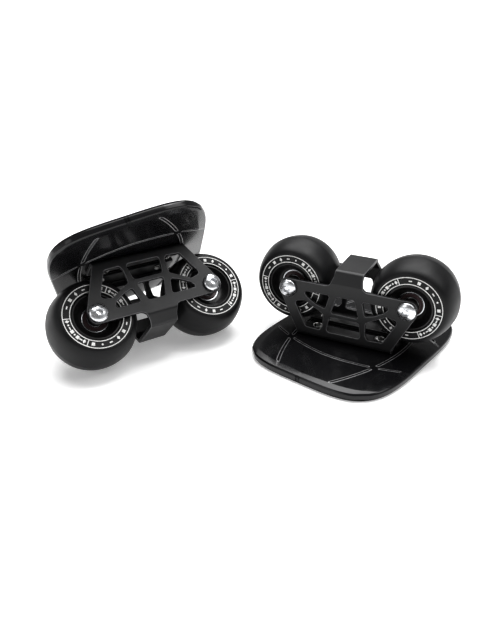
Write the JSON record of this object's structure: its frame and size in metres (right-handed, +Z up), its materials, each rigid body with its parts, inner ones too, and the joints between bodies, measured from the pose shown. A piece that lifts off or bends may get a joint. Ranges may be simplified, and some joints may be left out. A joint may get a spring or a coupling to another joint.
{
  "type": "pair of drift skates",
  "caption": "Pair of drift skates: small foot decks, each on a pierced channel frame over barrel wheels in line.",
  "frame": {"origin": "on the floor, under the middle of the bounding box of the pair", "axes": "+Z up; +X along the pair from the left skate, which leans on its wheels and toe edge, to the right skate, which lies upside down; +Y to the back"},
  "size_m": [0.3552, 0.1932, 0.1343],
  "materials": {
    "urethane": "satin cast urethane",
    "wheel_core": "moulded black nylon",
    "bearing_steel": "ground steel",
    "bush_alloy": "black anodised",
    "chrome": "polished chrome plate",
    "frame_alloy": "satin black anodised",
    "deck_alloy": "gloss black powder coat",
    "grip": "grit grip sheet",
    "screw_steel": "zinc plated"
  },
  "bodies": {
    "left_skate": {"left_deck": "deck_alloy", "left_grip_pad": "grip", "left_frame": "frame_alloy", "left_deck_screw_1": "screw_steel", "left_deck_screw_2": "screw_steel", "left_deck_screw_3": "screw_steel", "left_deck_screw_4": "screw_steel", "left_front_bearing_toe_inner_race": "bearing_steel", "left_front_axle_bush_toe": "bush_alloy", "left_front_bearing_heel_inner_race": "bearing_steel", "left_front_axle_bush_heel": "bush_alloy", "left_front_bearing_spacer": "bush_alloy", "left_front_axle_sleeve": "chrome", "left_front_axle_screw": "chrome", "left_rear_bearing_toe_inner_race": "bearing_steel", "left_rear_axle_bush_toe": "bush_alloy", "left_rear_bearing_heel_inner_race": "bearing_steel", "left_rear_axle_bush_heel": "bush_alloy", "left_rear_bearing_spacer": "bush_alloy", "left_rear_axle_sleeve": "chrome", "left_rear_axle_screw": "chrome"},
    "left_front_wheel": {"left_front_tyre": "urethane", "left_front_wheel_core": "wheel_core", "left_front_bearing_toe_outer_race": "bearing_steel", "left_front_bearing_heel_outer_race": "bearing_steel"},
    "left_rear_wheel": {"left_rear_tyre": "urethane", "left_rear_wheel_core": "wheel_core", "left_rear_bearing_toe_outer_race": "bearing_steel", "left_rear_bearing_heel_outer_race": "bearing_steel"},
    "right_skate": {"right_deck": "deck_alloy", "right_grip_pad": "grip", "right_frame": "frame_alloy", "right_deck_screw_1": "screw_steel", "right_deck_screw_2": "screw_steel", "right_deck_screw_3": "screw_steel", "right_deck_screw_4": "screw_steel", "right_front_bearing_toe_inner_race": "bearing_steel", "right_front_axle_bush_toe": "bush_alloy", "right_front_bearing_heel_inner_race": "bearing_steel", "right_front_axle_bush_heel": "bush_alloy", "right_front_bearing_spacer": "bush_alloy", "right_front_axle_sleeve": "chrome", "right_front_axle_screw": "chrome", "right_rear_bearing_toe_inner_race": "bearing_steel", "right_rear_axle_bush_toe": "bush_alloy", "right_rear_bearing_heel_inner_race": "bearing_steel", "right_rear_axle_bush_heel": "bush_alloy", "right_rear_bearing_spacer": "bush_alloy", "right_rear_axle_sleeve": "chrome", "right_rear_axle_screw": "chrome"},
    "right_front_wheel": {"right_front_tyre": "urethane", "right_front_wheel_core": "wheel_core", "right_front_bearing_toe_outer_race": "bearing_steel", "right_front_bearing_heel_outer_race": "bearing_steel"},
    "right_rear_wheel": {"right_rear_tyre": "urethane", "right_rear_wheel_core": "wheel_core", "right_rear_bearing_toe_outer_race": "bearing_steel", "right_rear_bearing_heel_outer_race": "bearing_steel"}
  },
  "joints": [
    {"name": "right_skate_slide", "type": "slide", "parent": "left_skate", "child": "right_skate", "axis": [1, 0, 0], "range_m": [0, 0.15]},
    {"name": "left_front_wheel_spin", "type": "hinge", "parent": "left_skate", "child": "left_front_wheel", "pos_m": [-0.04909, 0.01801, 0.03561], "axis": [-0.3944, 0.5825, -0.7107], "continuous": true},
    {"name": "left_rear_wheel_spin", "type": "hinge", "parent": "left_skate", "child": "left_rear_wheel", "pos_m": [-0.13355, -0.03917, 0.03561], "axis": [-0.3944, 0.5825, -0.7107], "continuous": true},
    {"name": "right_front_wheel_spin", "type": "hinge", "parent": "right_skate", "child": "right_front_wheel", "pos_m": [0.13006, -0.02056, 0.051], "axis": [-0.4446, -0.8957, 0], "continuous": true},
    {"name": "right_rear_wheel_spin", "type": "hinge", "parent": "right_skate", "child": "right_rear_wheel", "pos_m": [0.0387, 0.0248, 0.051], "axis": [-0.4446, -0.8957, 0], "continuous": true}
  ]
}
